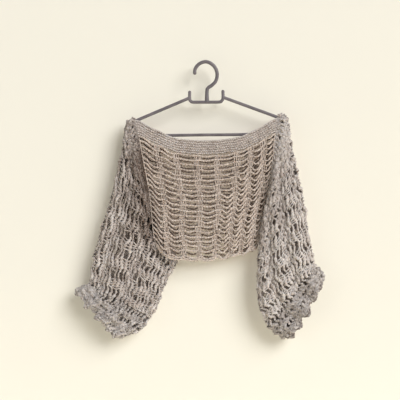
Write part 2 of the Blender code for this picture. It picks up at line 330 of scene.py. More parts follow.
class StockTree:
    """Geometry Nodes that turn routes into yarn or rod and keep the thin shells laid under them."""

    INPUTS = (
        ("Twist Pitch", "NodeSocketFloat"),
        ("Lobe", "NodeSocketFloat"),
        ("Sides", "NodeSocketInt"),
        ("Fuzz", "NodeSocketFloat"),
        ("Fuzz Grain", "NodeSocketFloat"),
        ("Inner Shade", "NodeSocketFloat"),
        ("Seed", "NodeSocketFloat"),
        ("Material", "NodeSocketMaterial"),
    )

    def __init__(self) -> None:
        """Builds the tree."""
        self.tree = bpy.data.node_groups.new("stock along routes", "GeometryNodeTree")
        face = self.tree.interface
        face.new_socket("Geometry", in_out="INPUT", socket_type="NodeSocketGeometry")
        for name, kind in self.INPUTS:
            face.new_socket(name, in_out="INPUT", socket_type=kind)
        face.new_socket("Geometry", in_out="OUTPUT", socket_type="NodeSocketGeometry")
        self._wire()

    def _wire(self) -> None:
        """Adds the nodes and their links."""
        tree = self.tree
        add = partial(add_node, tree)
        given = add("NodeGroupInput", {}).outputs
        shell, radius, outward, tone = (
            add("GeometryNodeInputNamedAttribute", {"Name": name}, data_type=kind).outputs["Attribute"]
            for name, kind in (
                ("shell", "BOOLEAN"),
                ("radius_of_stock", "FLOAT"),
                ("outward", "FLOAT_VECTOR"),
                ("tone", "FLOAT"),
            )
        )
        # Routes turn steadily about themselves, a whole turn in each pitch
        shells = {"Geometry": given["Geometry"], "Selection": shell}
        parts = add("GeometryNodeSeparateGeometry", shells, domain="POINT")
        routes = add("GeometryNodeMeshToCurve", {"Mesh": parts.outputs["Inverted"]})
        length = add("GeometryNodeSplineParameter", {}).outputs["Length"]
        turns = add("ShaderNodeMath", {0: length, 1: given["Twist Pitch"]}, operation="DIVIDE")
        angle = add("ShaderNodeMath", {0: turns.outputs[0], 1: 2.0 * math.pi}, operation="MULTIPLY")
        tilted = add("GeometryNodeSetCurveTilt", {"Curve": routes.outputs[0], "Tilt": angle.outputs[0]})
        # The section is a little oval, so that the twist shows
        circle = add("GeometryNodeCurvePrimitiveCircle", {"Resolution": given["Sides"], "Radius": 1.0})
        wide = add("ShaderNodeMath", {0: 1.0, 1: given["Lobe"]}, operation="ADD")
        thin = add("ShaderNodeMath", {0: 1.0, 1: given["Lobe"]}, operation="SUBTRACT")
        size = add("ShaderNodeCombineXYZ", {0: wide.outputs[0], 1: thin.outputs[0], 2: 1.0})
        section = add("GeometryNodeTransform", {"Geometry": circle.outputs[0], "Scale": size.outputs[0]})
        swept = {"Curve": tilted.outputs[0], "Profile Curve": section.outputs[0], "Scale": radius}
        stock = add("GeometryNodeCurveToMesh", {**swept, "Fill Caps": True})
        # Fuzz moves the surface in and out by a noise
        noise = {"Scale": given["Fuzz Grain"], "W": given["Seed"], "Detail": 1.0}
        grain = add("ShaderNodeTexNoise", noise, noise_dimensions="4D")
        push = add("ShaderNodeMath", {0: grain.outputs[0], 1: 0.5}, operation="SUBTRACT")
        amount = add("ShaderNodeMath", {0: push.outputs[0], 1: given["Fuzz"]}, operation="MULTIPLY")
        normal = add("GeometryNodeInputNormal", {}).outputs[0]
        offset = add("ShaderNodeVectorMath", {0: normal, "Scale": amount.outputs[0]}, operation="SCALE")
        fuzzy = add("GeometryNodeSetPosition", {"Geometry": stock.outputs[0], "Offset": offset.outputs[0]})
        joined = add("GeometryNodeJoinGeometry", {})
        tree.links.new(parts.outputs["Selection"], joined.inputs[0])
        tree.links.new(fuzzy.outputs[0], joined.inputs[0])
        # Painted shade: faces that look into the cloth are darker
        outside = add("ShaderNodeVectorMath", {0: normal, 1: outward}, operation="DOT_PRODUCT").outputs
        inward = add("ShaderNodeMath", {0: outside["Value"], 1: -0.5, 2: 0.5}, operation="MULTIPLY_ADD")
        depth = add("ShaderNodeMath", {0: inward.outputs[0], 1: 1.6}, operation="POWER")
        shade = add("ShaderNodeMath", {0: depth.outputs[0], 1: given["Inner Shade"]}, operation="MULTIPLY")
        shaded = add("ShaderNodeMath", {0: tone, 1: shade.outputs[0]}, operation="SUBTRACT")
        stored = {"Geometry": joined.outputs[0], "Name": "tone", "Value": shaded.outputs[0]}
        toned = add("GeometryNodeStoreNamedAttribute", stored, data_type="FLOAT", domain="POINT")
        smooth = add("GeometryNodeSetShadeSmooth", {0: toned.outputs[0]})
        real = add("GeometryNodeRealizeInstances", {"Geometry": smooth.outputs[0]})
        finish = {"Geometry": real.outputs[0], "Material": given["Material"]}
        dressed = add("GeometryNodeSetMaterial", finish)
        add("NodeGroupOutput", {"Geometry": dressed.outputs[0]})

    def bake(self, piece: bpy.types.Object, **values: object) -> None:
        """Runs the tree on a piece and keeps the result as a plain mesh.

        Args:
            piece: the object whose mesh holds the routes.
            values: the tree's inputs, with an underscore for each space in a name.
        """
        modifier = piece.modifiers.new("stock", "NODES")
        modifier.node_group = self.tree
        for item in self.tree.interface.items_tree:
            key = item.name.replace(" ", "_")
            if item.item_type == "SOCKET" and item.in_out == "INPUT" and key in values:
                modifier[item.identifier] = values[key]
        graph = bpy.context.evaluated_depsgraph_get()
        mesh = bpy.data.meshes.new_from_object(
            piece.evaluated_get(graph), preserve_all_data_layers=True, depsgraph=graph
        )
        piece.modifiers.clear()
        old, piece.data = piece.data, mesh
        bpy.data.meshes.remove(old)
        mesh.name = piece.name


STOCK = StockTree()


class StockWork:
    """Routes and shells of one piece, gathered in millimetres before they are baked."""

    # How far short of the wall the rear is pressed flat, and how many radii an oval yarn reaches
    REAR_GAP = 2.0
    OVAL = 1.2

    def __init__(
        self, name: str, surface: Surface | None = None, shade: Callable[[Floats], Floats] | None = None
    ) -> None:
        """Starts an empty piece.

        Args:
            name: the object's name.
            surface: gives points and normals where routes are laid by their place on cloth.
            shade: gives how much painted shade darkens the yarn at points.
        """
        self.name = name
        self.surface = surface
        self.shade = shade
        self.laid: list[tuple] = []
        self.points: list[Floats] = []
        self.radii: list[Floats] = []
        self.tones: list[Floats] = []
        self.shell: list[Floats] = []
        self.outward: list[Floats] = []
        self.edges: list[tuple[int, int]] = []
        self.faces: list[tuple[int, ...]] = []
        self.count = 0

    def _add(
        self, points: Floats, radius: Amount, tone: Amount, shell: bool, outward: Amount = 0.0
    ) -> int:
        """Adds points with their attributes.

        Args:
            points: their places.
            radius: of the stock, one or one for each point.
            tone: lightness of the yarn, one or one for each point.
            shell: whether they belong to a shell.
            outward: the cloth's outward normals.

        Returns:
            The first one's index.
        """
        first, size = self.count, len(points)
        self.points.append(points)
        self.radii.append(np.broadcast_to(np.asarray(radius, float), size))
        self.tones.append(np.broadcast_to(np.asarray(tone, float), size))
        self.shell.append(np.full(size, shell))
        self.outward.append(np.broadcast_to(outward, (size, 3)))
        self.count += size
        return first

    def run(
        self, points: Floats, radius: Amount, tone: Amount, closed: bool = False, outward: Amount = 0.0
    ) -> None:
        """Lays one strand or rod through points.

        Args:
            points: the route.
            radius: of the stock.
            tone: lightness of the yarn.
            closed: whether the end meets the start.
            outward: the cloth's outward normals.
        """
        first = self._add(points, radius, tone, False, outward)
        size = len(points)
        self.edges += [(first + i, first + i + 1) for i in range(size - 1)]
        if closed:
            self.edges.append((first + size - 1, first))

    def lay(
        self, across: Floats, down: Floats, lift: Amount, radius: Amount, tone: Amount, closed: bool = False
    ) -> None:
        """Lays one strand on the cloth's surface.

        Args:
            across: the first coordinate of its points on the surface.
            down: the second one.
            lift: height over the surface.
            radius: of the yarn.
            tone: lightness of the yarn.
            closed: whether the end meets the start.
        """
        given = (across, down, lift, radius, tone)
        size = np.broadcast_shapes(np.shape(across), np.shape(down), np.shape(lift))
        self.laid.append((*(np.broadcast_to(np.asarray(value, float), size) for value in given), closed))

    def settle(self) -> None:
        """Puts everything that was laid on the surface, all at once."""
        if not self.laid:
            return
        across, down, lift, radius, tone = (np.concatenate([item[c] for item in self.laid]) for c in range(5))
        points, normals = self.surface(across, down)
        points = points + normals * lift[:, None]
        points[:, 1] = np.minimum(points[:, 1], WALL_Y - self.REAR_GAP - self.OVAL * radius)
        # Painted shade, where a piece has it, is taken off the tone
        if self.shade is not None:
            tone = tone - self.shade(points)
        start = 0
        for item in self.laid:
            part = slice(start, start + len(item[0]))
            self.run(points[part], radius[part], tone[part], item[5], normals[part])
            start = part.stop
        self.laid = []

    def line(self, across: Floats, down: Floats, low: float, high: float, tone: float) -> None:
        """Adds a thin closed shell between two heights over the surface.

        Args:
            across: even places of its columns.
            down: places of its rows.
            low: height of its inner face.
            high: height of its outer face.
            tone: lightness of its yarn.
        """
        wide, tall = len(across), len(down)
        points, normals = self.surface(np.tile(across, tall), np.repeat(down, wide))
        outer = self._add(points + normals * high, 0.0, tone, True, normals)
        inner = self._add(points + normals * low, 0.0, tone, True, normals)
        end, last = wide - 1, (tall - 1) * wide
        faces = []
        for a in range(0, last, wide):
            b = a + wide
            for c in range(end):
                faces.append((outer + a + c, outer + a + c + 1, outer + b + c + 1, outer + b + c))
                faces.append((inner + a + c + 1, inner + a + c, inner + b + c, inner + b + c + 1))
        for c in range(end):
            faces.append((inner + c, inner + c + 1, outer + c + 1, outer + c))
            faces.append((outer + last + c, outer + last + c + 1, inner + last + c + 1, inner + last + c))
        for a in range(0, last, wide):
            b = a + wide
            faces.append((outer + a, outer + b, inner + b, inner + a))
            faces.append((inner + a + end, inner + b + end, outer + b + end, outer + a + end))
        self.faces += [face[::-1] for face in faces] if self._flipped(points, normals, wide) else faces

    @staticmethod
    def _flipped(points: Floats, normals: Floats, wide: int) -> bool:
        """Whether faces wound along columns then rows point inwards.

        Args:
            points: the surface's points, row by row.
            normals: their outward normals.
            wide: how many points a row has.

        Returns:
            True where the faces have to be turned.
        """
        middle = len(points) // wide // 2 * wide + wide // 3
        u, v = points[middle + 1] - points[middle], points[middle] - points[middle - wide]
        return bool(np.dot(np.cross(u, v), normals[middle]) < 0.0)

    def make(self, material: bpy.types.Material, **values: object) -> bpy.types.Object:
        """Bakes everything that was laid.

        Args:
            material: the piece's finish.
            values: the tree's other inputs.

        Returns:
            The finished object.
        """
        self.settle()
        mesh = bpy.data.meshes.new(self.name)
        places = np.concatenate(self.points) * MM
        mesh.from_pydata(places.tolist(), self.edges, self.faces)
        for name, kind, field, data in (
            ("radius_of_stock", "FLOAT", "value", np.concatenate(self.radii) * MM),
            ("tone", "FLOAT", "value", np.concatenate(self.tones)),
            ("shell", "BOOLEAN", "value", np.concatenate(self.shell)),
            ("outward", "FLOAT_VECTOR", "vector", np.concatenate(self.outward).ravel()),
        ):
            mesh.attributes.new(name, kind, "POINT").data.foreach_set(field, data)
        piece = bpy.data.objects.new(self.name, mesh)
        bpy.context.scene.collection.objects.link(piece)
        STOCK.bake(piece, Material=material, **values)
        if not piece.data.materials:
            piece.data.materials.append(material)
        triangles = sum(len(face.vertices) - 2 for face in piece.data.polygons)
        area = sum(face.area for face in piece.data.polygons)
        LOG.info("%s: %d triangles, %.3f square metres of surface", self.name, triangles, area)
        return piece


# The cloth's surfaces, as the part's source has them


@dataclass(frozen=True)
class BodyShape:
    """The inner faces of the front and the back."""

    # Share of the way down, left x, right x
    sides: tuple = (
        (0.00, -200, 211),
        (0.15, -187, 201),
        (0.33, -175, 195),
        (0.54, -160, 186),
        (0.76, -151, 169),
        (0.92, -145, 161),
        (1.00, -137, 158),
    )
    # Neck edge: x, z
    neck: tuple = (
        (-200, -160), (-182, -164), (-159, -179), (-128, -191), (-109, -202),
        (-80, -212), (-33, -217), (1, -218), (39, -217), (79, -212),
        (110, -205), (136, -192), (165, -179), (188, -164), (211, -153),
    )  # fmt: skip
    # Share of the way across, z
    hem: tuple = (
        (0.00, -524), (0.09, -547), (0.21, -556), (0.36, -557), (0.46, -558),
        (0.57, -553), (0.70, -547), (0.86, -536), (0.96, -524), (1.00, -515),
    )  # fmt: skip
    # Share down, front depth, back depth
    depth: tuple = ((0.00, 9, 8), (0.20, 13, 9), (0.50, 19, 11), (0.80, 21, 12), (1.00, 19, 11))
    # Share across at the top and at the hem, half width, share down from and to, depth, sag of the rows
    front_folds: tuple = (
        (0.06, 0.10, 0.030, 0.15, 1.00, 5.0, 3.0),
        (0.14, 0.21, 0.035, 0.10, 0.90, 4.0, 3.0),
        (0.22, 0.36, 0.040, 0.05, 0.80, 3.0, 2.0),
        (0.45, 0.50, 0.060, 0.40, 1.00, 2.5, 2.0),
        (0.66, 0.64, 0.028, 0.35, 1.00, 4.0, 6.0),
        (0.78, 0.74, 0.026, 0.20, 1.00, 5.0, 7.0),
        (0.88, 0.85, 0.026, 0.10, 1.00, 6.0, 7.0),
        (0.97, 0.95, 0.022, 0.05, 1.00, 5.0, 4.0),
    )
    back_folds: tuple = (
        (0.05, 0.08, 0.030, 0.10, 1.00, 4.0, 4.0),
        (0.17, 0.22, 0.035, 0.15, 0.95, 4.5, 5.0),
        (0.33, 0.36, 0.045, 0.30, 1.00, 3.0, 3.0),
        (0.55, 0.53, 0.055, 0.35, 1.00, 2.5, 2.0),
        (0.72, 0.69, 0.035, 0.15, 1.00, 4.0, 5.0),
        (0.84, 0.82, 0.028, 0.10, 0.95, 5.0, 6.0),
        (0.94, 0.93, 0.025, 0.08, 1.00, 4.0, 4.0),
    )
    clusters: tuple = (0.08, 0.25, 0.42, 0.59, 0.74, 0.87)
    cluster_half: float = 0.045
    band_share: float = 0.115
    hem_scallop: float = 4.0
    hem_from: float = 0.94
    hem_over: float = 0.06
    seam_gap: float = 0.3
    armhole_tops: tuple = (-154.0, -143.0)
    armpit: float = -360.0
    armhole_half: float = 14.0
    # Shares across and down over which folds, sag and armholes die out
    edge_over: float = 0.07
    neck_over: float = 0.2
    armhole_over: float = 0.22
    fold_over: tuple = (0.18, 0.12)
    fold_kept: float = 0.55

    def folds(self, face: Face, across: Floats, down: Floats) -> tuple[Floats, Floats]:
        """How far the folds push a panel out and let its rows sag.

        Args:
            face: which panel.
            across: share of the way from the left edge.
            down: share of the way from the neck edge.

        Returns:
            The push and the sag at each place.
        """
        push, sag = np.zeros_like(across), np.zeros_like(across)
        table = self.front_folds if face is Face.FRONT else self.back_folds
        for top, hem, width, start, end, depth, drop in table:
            middle = top + (hem - top) * down
            shape = np.exp(-(((across - middle) / width) ** 2))
            length = smooth_step((down - start) / self.fold_over[0])
            length *= smooth_step((end - down) / self.fold_over[1] + self.fold_kept)
            push += depth * shape * length
            sag += drop * shape * length
        return push, sag

    def ends(self, across: Floats) -> tuple[Floats, Floats]:
        """Heights of the neck edge and of the hem at a share of the way across."""
        top_x = self.sides[0][1] + (self.sides[0][2] - self.sides[0][1]) * across
        return look_up(self.neck, top_x, 1), look_up(self.hem, across, 1)

    def armhole(self, z: Floats, top: Floats) -> Floats:
        """Half the armhole's width at a height."""
        reach = (z - 0.5 * (top + self.armpit)) / (0.5 * (top - self.armpit))
        return self.armhole_half * np.sqrt(np.maximum(1.0 - reach * reach, 0.0))

    def point(self, face: Face, across: Floats, down: Floats) -> Floats:
        """Points of a panel's inner face.

        Args:
            face: which panel.
            across: share of the way from the left edge.
            down: share of the way from the neck edge.

        Returns:
            One row of x, y and z for each place.
        """
        left, right = look_up(self.sides, down, 1), look_up(self.sides, down, 2)
        top, hem = self.ends(across)
        z = top + (hem - top) * down
        push, sag = self.folds(face, across, down)
        edge = smooth_step(across / self.edge_over) * smooth_step((1.0 - across) / self.edge_over)
        z = z - sag * edge * smooth_step(down / self.neck_over)
        away = [np.abs(across - cluster) / self.cluster_half for cluster in self.clusters]
        near = np.max([np.maximum(0.0, 1.0 - gap) for gap in away], axis=0)
        z = z - self.hem_scallop * (1.0 - near) * edge * smooth_step((down - self.hem_from) / self.hem_over)
        belly = 1.0 - (2.0 * across - 1.0) ** 4
        armhole = self.armhole(z, np.where(across < 0.5, *self.armhole_tops))
        beside = 1.0 - smooth_step(np.minimum(across, 1.0 - across) / self.armhole_over)
        depth = look_up(self.depth, down, 1 if face is Face.FRONT else 2) * belly
        depth = np.maximum(depth, 0.0) * (1.0 - beside * armhole / self.armhole_half) + armhole * beside
        y = face.value * (0.5 * self.seam_gap + depth + push * edge)
        return np.stack([left + (right - left) * across, y, z], axis=1)

    def seam(self, hand: Hand, z: Floats) -> Floats:
        """X of the body's side edge at a height.

        Args:
            hand: which side edge.
            z: the height.

        Returns:
            One x for each height.
        """
        end = 0 if hand is Hand.LEFT else -1
        down = (z - self.neck[end][1]) / (self.hem[end][1] - self.neck[end][1])
        return look_up(self.sides, down, 1 if hand is Hand.LEFT else 2)

    def reach(self, face: Face, x: Floats, z: Floats) -> tuple[Floats, Floats]:
        """Where a panel lies behind or before a place seen from the front.

        Args:
            face: which panel.
            x: the place's x.
            z: the place's height.

        Returns:
            The panel's y there, and how far inside the side edge the place is.
        """
        down, across = np.full_like(x, 0.5), np.full_like(x, 0.5)
        left = right = x
        for _ in range(6):
            left, right = look_up(self.sides, down, 1), look_up(self.sides, down, 2)
            across = np.clip((x - left) / (right - left), 0.0, 1.0)
            top, hem = self.ends(across)
            down = np.clip((z - top) / (hem - top), 0.0, 1.0)
        return self.point(face, across, down)[:, 1], np.minimum(x - left, right - x)

    def surface(self, face: Face) -> Surface:
        """Gives the panel's points and outward normals as one function."""
        return with_normals(lambda u, v: self.point(face, u, v), float(face.value))


def with_normals(point: Callable[[Floats, Floats], Floats], turn: float) -> Surface:
    """Adds outward normals to a surface.

    Args:
        point: gives the surface's points.
        turn: 1 or -1, so that the normals point outwards.

    Returns:
        A function that gives points and normals.
    """
    step = 0.004

    def both(across: Floats, down: Floats) -> tuple[Floats, Floats]:
        """Points and normals at each place.

        Args:
            across: the first coordinate on the surface.
            down: the second one.

        Returns:
            One row of points and one of unit normals for each place.
        """
        u = point(across + step, down) - point(across - step, down)
        v = point(across, np.minimum(down + step, 1.0)) - point(across, np.maximum(down - step, 0.0))
        return point(across, down), unit(np.cross(u, v)) * turn

    return both


BODY = BodyShape()


def round_share(turn: Floats) -> Floats:
    """The part's round share for an even place round a flat tube.

    Args:
        turn: 0 at the outer edge, 0.5 at the inner one, and 1 after the whole round.

    Returns:
        The same place in the part's own measure, which is closer at the edges.
    """
    turn = np.mod(turn, 1.0)
    share = 1.0 - np.abs(1.0 - 2.0 * turn)
    angle = np.arccos(1.0 - 2.0 * share)
    return np.where(turn < 0.5, angle, 2.0 * math.pi - angle) / (2.0 * math.pi)


@dataclass(frozen=True)
class SleeveShape:
    """The inner face of a sleeve and its cuff."""

    hand: Hand
    # Outer x, z, inner x, z, half depth, y outer, y inner, wave, from the armhole to the cuff's edge
    sections: tuple
    cuff_from: float = 0.75
    folds_round: int = 3
    cuff_lump: float = 5.0
    cuff_lumps: int = 4
    lump_from: float = 0.8
    lump_over: float = 0.2
    near_phase: float = 0.9
    far_phase: float = 2.6
    wall: float = 2.6
    clear: float = 3.2
    ribs: float = 2.0
    hollow_share: float = 0.9
    # Share along that the armhole's seam takes, and heights below which the body presses the sleeve
    seam_over: float = 0.07
    press_from: float = -330.0
    press_over: float = 30.0

    def point(self, turned: Floats, along: Floats) -> Floats:
        """Points of the sleeve's inner face.

        Args:
            turned: the part's round share.
            along: share of the way from the armhole to the cuff's edge.

        Returns:
            One row of x, y and z for each place.
        """
        side = -self.hand.value
        face = Face.BACK if side > 0 else Face.FRONT
        place = along * (len(self.sections) - 1)
        outer_x, outer_z, inner_x, inner_z, half, y_outer, y_inner, wave = (
            curve_through([row[c] for row in self.sections], place) for c in range(8)
        )
        angle = 2.0 * math.pi * turned
        share = 0.5 - 0.5 * np.cos(angle)
        x = outer_x + (inner_x - outer_x) * share
        z = outer_z + (inner_z - outer_z) * share
        seam = BODY.seam(self.hand, z) + 2.0 * BODY.seam_gap * self.hand.value
        x = seam + (x - seam) * (1.0 - np.maximum(1.0 - along / self.seam_over, 0.0) ** 2)
        swell = np.abs(np.sin(angle)) ** 0.8
        centre = y_outer + (y_inner - y_outer) * smooth_step((share - 0.3) / 0.4)
        turn = 2.0 * math.pi * self.folds_round * share + 1.5 * along
        near = centre - side * (half * swell + wave * swell * np.sin(turn + self.near_phase))
        far = centre + side * (half * swell + wave * swell * np.sin(turn + self.far_phase))
        reach, inside = BODY.reach(face, x, z)
        start = smooth_step((along - 0.02) / 0.10) * smooth_step((self.press_from - z) / self.press_over)
        bare = side * reach + self.clear + 2.0 * self.wall + self.ribs + 1.1 * np.minimum(inside, 0.0)
        near = side * soft_max(side * near, bare, start)
        far = side * soft_max(side * far, side * near + self.hollow_share * half * swell, np.ones_like(x))
        front = np.sin(angle)
        y = np.where(front * side > 0.0, near, far)
        phase = np.where(front > 0.0, self.near_phase, self.far_phase)
        lump = self.cuff_lump * np.sin(2.0 * math.pi * self.cuff_lumps * share + phase)
        lump *= smooth_step((along - self.lump_from) / self.lump_over) * np.abs(front) * self.hand.value
        line = unit(np.stack([outer_z - inner_z, np.zeros_like(x), inner_x - outer_x], axis=1))
        return np.stack([x, y, z], axis=1) + line * lump[:, None]

    def surface(self) -> Surface:
        """Points and outward normals by the even place round the tube and the share along it."""
        base = with_normals(self.point, float(self.hand.value))
        return lambda turn, along: base(round_share(turn), along)


def soft_max(value: Floats, least: Floats, weight: Floats) -> Floats:
    """The larger of two values with a soft corner.

    Args:
        value: what it starts from.
        least: what it has to reach.
        weight: how much of the change is made, 0 to 1.

    Returns:
        One value for each place.
    """
    gap = value - least
    larger = least + 0.5 * (gap + np.sqrt(gap * gap + 4.0))
    return value + (larger - value) * weight


LEFT_SLEEVE = SleeveShape(
    Hand.LEFT,
    (
        (-203, -154, -165, -360, 14, 0, 0, 0),
        (-217, -161, -156, -404, 15, 0, 12, 2),
        (-225, -185, -143, -451, 17, 0, 18, 4),
        (-232, -239, -112, -515, 18, -2, 22, 6),
        (-247, -305, -84, -556, 20, -4, 24, 7),
        (-267, -388, -84, -575, 22, -6, 22, 8),
        (-287, -454, -103, -609, 23, -6, 18, 8),
        (-307, -526, -119, -641, 24, -5, 14, 9),
        (-321, -590, -133, -682, 24, -4, 10, 8),
        (-328, -626, -156, -724, 23, -2, 6, 6),
        (-346, -638, -180, -755, 24, -2, 4, 7),
        (-361, -644, -214, -770, 26, -1, 2, 9),
        (-365, -653, -256, -784, 25, 0, 0, 11),
    ),
)
RIGHT_SLEEVE = SleeveShape(
    Hand.RIGHT,
    (
        (215, -143, 189, -360, 14, 0, 0, 0),
        (230, -150, 182, -405, 15, 0, -10, 2),
        (241, -178, 168, -451, 17, 0, -16, 4),
        (247, -230, 161, -503, 18, 0, -17, 6),
        (260, -288, 156, -549, 20, -2, -16, 7),
        (273, -348, 153, -595, 22, -4, -12, 8),
        (285, -411, 152, -641, 23, -5, -11, 8),
        (296, -483, 156, -684, 24, -5, -10, 9),
        (308, -546, 171, -721, 23, -4, -7, 8),
        (315, -580, 186, -750, 22, -3, -4, 6),
        (328, -588, 204, -768, 23, -2, -3, 7),
        (338, -602, 226, -780, 25, -1, -2, 9),
        (340, -622, 252, -781, 24, 0, 0, 11),
    ),
)


# Cloth pieces


def declared(piece: bpy.types.Object, slot: str, *nodes: str) -> bpy.types.Object:
    """Hangs a piece on the root and hides the solids it replaces.

    Args:
        piece: the piece.
        slot: not used.
        nodes: the solids it replaces.

    Returns:
        The same piece.
    """
    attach(piece, "root")
    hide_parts(*nodes)
    return piece


@dataclass
class NetPanel:
    """The front or the back: rows of chain that hang between columns of clusters."""

    face: Face
    yarn: CottonYarn
    node: str
    slot: str
    seed: int
    rows: int = 21
    row_shift: float = 0.2
    columns: tuple = (0.135, 0.283, 0.43, 0.58, 0.72, 0.82, 0.93)
    # Drop of a row from left to right in each field between columns
    slants: tuple = (7.0, 5.0, 3.0, 0.0, -3.0, -2.0, -2.0, 0.0)
    bow: float = 3.6
    radius: float = 2.6
    post_radius: float = 1.7
    lift: float = 2.4
    step: float = 2.3
    fold_gain: float = 0.75
    tone: float = 0.74
    bead: float = 8.5
    edge_over: float = 0.05
    # Widths in mm that points, beads and clusters are counted on
    row_length: float = 370.0
    bead_run: float = 365.0
    cluster_run: float = 355.0

    def row(self, place: float, random: np.random.Generator) -> tuple[Floats, Floats]:
        """The route of one row.

        Args:
            place: its share of the way down the panel.
            random: the seeded source of its unevenness.

        Returns:
            Its places across and down.
        """
        across = np.linspace(0.0, 1.0, int(self.row_length / self.step))
        top, hem = BODY.ends(across)
        edges = np.array((0.0, *self.columns, 1.0))
        field = np.clip(np.searchsorted(edges, across, side="right") - 1, 0, len(edges) - 2)
        part = (across - edges[field]) / (edges[field + 1] - edges[field])
        bows = self.bow * random.uniform(0.5, 1.5, len(edges))
        drop = bows[field] * 4.0 * part * (1.0 - part) + np.array(self.slants)[field] * (part - 0.5)
        drop = np.convolve(np.pad(drop, 3, mode="edge"), np.full(7, 1.0 / 7.0), mode="valid")
        drop += self.fold_gain * BODY.folds(self.face, across, np.full_like(across, place))[1]
        drop += wander(random, across, 1.0, 6.0)
        edge = smooth_step(across / self.edge_over) * smooth_step((1.0 - across) / self.edge_over)
        return across, place + edge * drop / (top - hem)

    def build(self) -> bpy.types.Object:
        """Makes the panel.

        Returns:
            The finished piece, hung on the root.
        """
        random = np.random.default_rng(self.seed)
        work = StockWork(f"{self.node}_net", BODY.surface(self.face))
        start = BODY.band_share
        lines = []
        for index in range(self.rows):
            place = start + (1.0 - start) * (index + self.row_shift + random.uniform(-0.12, 0.12)) / self.rows
            across, down = self.row(place, random)
            lines.append((across, down))
            beads = np.sin(2.0 * math.pi * self.bead_run / self.bead * across + index)
            lift = self.lift + wander(random, across, 0.5, 9.0)
            radius = self.radius * (1.0 + wander(random, across, 0.12, 20.0) + 0.1 * beads)
            # Beads are lighter where the yarn swells: painted light
            tone = self.tone + random.uniform(-0.1, 0.1) + wander(random, across, 0.1, 14.0) + 0.1 * beads
            work.lay(across, np.minimum(down, 1.0), lift, radius, tone)
        self.clusters(work, lines, random)
        self.borders(work, random)
        piece = work.make(
            self.yarn.material(),
            Inner_Shade=0.48,
            Twist_Pitch=0.017,
            Lobe=0.2,
            Sides=6,
            Fuzz=0.0012,
            Fuzz_Grain=330.0,
            Seed=float(self.seed),
        )
        declared(piece, self.slot, self.node)
        return piece

    def clusters(
        self, work: StockWork, lines: list[tuple[Floats, Floats]], random: np.random.Generator
    ) -> None:
        """Ties the rows together with fans of four posts.

        Args:
            work: the piece.
            lines: the routes of its rows.
            random: the seeded source of unevenness.
        """
        width = self.cluster_run
        part = np.linspace(0.0, 1.0, 7)
        for column in self.columns:
            for (across, upper), (_, lower) in zip(lines, lines[1:]):
                middle = column + random.uniform(-4.0, 4.0) / width
                spread = random.uniform(2.6, 5.2, 2)
                for post in range(-2, 2):
                    high = middle + post * spread[0] / width
                    low = middle + (post * spread[1] + random.uniform(-2.0, 2.0)) / width
                    u = high + (low - high) * part + 0.6 * post / width * np.sin(math.pi * part)
                    top = np.interp(high, across, upper)
                    bottom = np.interp(low, across, lower)
                    v = top + (bottom - top) * part
                    lift = self.lift - 0.5 + 0.9 * np.sin(math.pi * part) - 0.3 * abs(post)
                    tone = self.tone + random.uniform(-0.25, 0.1)
                    work.lay(u, np.minimum(v, 1.0), lift, self.post_radius, tone)

    def borders(self, work: StockWork, random: np.random.Generator) -> None:
        """Adds the cords of the side edges and the hem's double chain.

        Args:
            work: the piece.
            random: the seeded source of unevenness.
        """
        down = np.linspace(BODY.band_share + 0.005, 1.0, 130)
        for edge in (0.003, 0.997):
            work.lay(np.full_like(down, edge), down, self.lift - 0.4, 2.0, self.tone - 0.1)
        across = np.linspace(0.0, 1.0, 165)
        for down, lift, radius in ((0.996, 2.4, 2.3), (0.984, 3.2, 1.9)):
            v = down + wander(random, across, 0.002, 12.0)
            work.lay(across, np.minimum(v, 1.0), lift, radius, self.tone + 0.1)


@dataclass
class NeckBand:
    """The close band along one side of the neck: tight rows over a thin firm ground."""

    face: Face
    yarn: CottonYarn
    node: str
    seed: int
    rows: int = 6
    loop: float = 6.4
    reach: float = 1.0
    radius: float = 1.85
    tone: float = 0.66
    length: float = 430.0
    columns: tuple = (0.06, 0.18, 0.31, 0.44, 0.57, 0.7, 0.82, 0.93)
    cluster_half: float = 7.0

    def build(self) -> bpy.types.Object:
        """Makes the band.

        Returns:
            The finished piece, hung on the root.
        """
        random = np.random.default_rng(self.seed)
        end = BODY.band_share
        ground = StockWork(f"{self.node}_ground", BODY.surface(self.face))
        # The ground's low tone is painted shade that shows between the rows
        ground.line(np.linspace(0.0, 1.0, 60), np.linspace(0.004, end, 7), 0.6, 1.8, 0.3)
        sheet = declared(ground.make(self.yarn.material(), Sides=6), "band_yarn", self.node)
        work = StockWork(f"{self.node}_loops", BODY.surface(self.face))
        across = np.linspace(0.0, 1.0, int(self.length / self.loop * 4.0))
        top, hem = BODY.ends(across)
        away = [(across - column) * self.length / self.cluster_half for column in self.columns]
        near = np.max([np.exp(-(gap**2)) for gap in away], axis=0)
        for index in range(self.rows):
            place = end * (index + 0.3) / (self.rows - 0.4)
            phase = 2.0 * math.pi * self.length / self.loop * across + index * 2.1
            stray = self.reach * np.sin(phase) + wander(random, across, 1.0, 14.0) + 1.2 * near
            down = place + stray / (top - hem)
            lift = 2.2 + 0.6 * np.cos(phase) + wander(random, across, 0.5, 24.0) + 0.8 * near
            # Loops are lighter where they rise and darker where they sink: painted light and shade
            tone = self.tone + random.uniform(-0.08, 0.08) + 0.16 * np.cos(phase)
            tone = tone + wander(random, across, 0.2, 26.0)
            work.lay(across, np.clip(down, 0.0, end), lift, self.radius, tone)
        work.lay(across, np.full_like(across, 0.003), 2.0, 1.9, self.tone + 0.05)
        piece = work.make(
            self.yarn.material(),
            Twist_Pitch=0.02,
            Lobe=0.15,
            Sides=6,
            Fuzz=0.0008,
            Fuzz_Grain=400.0,
            Seed=2.0,
        )
        declared(piece, "band_yarn", self.node)
        return piece


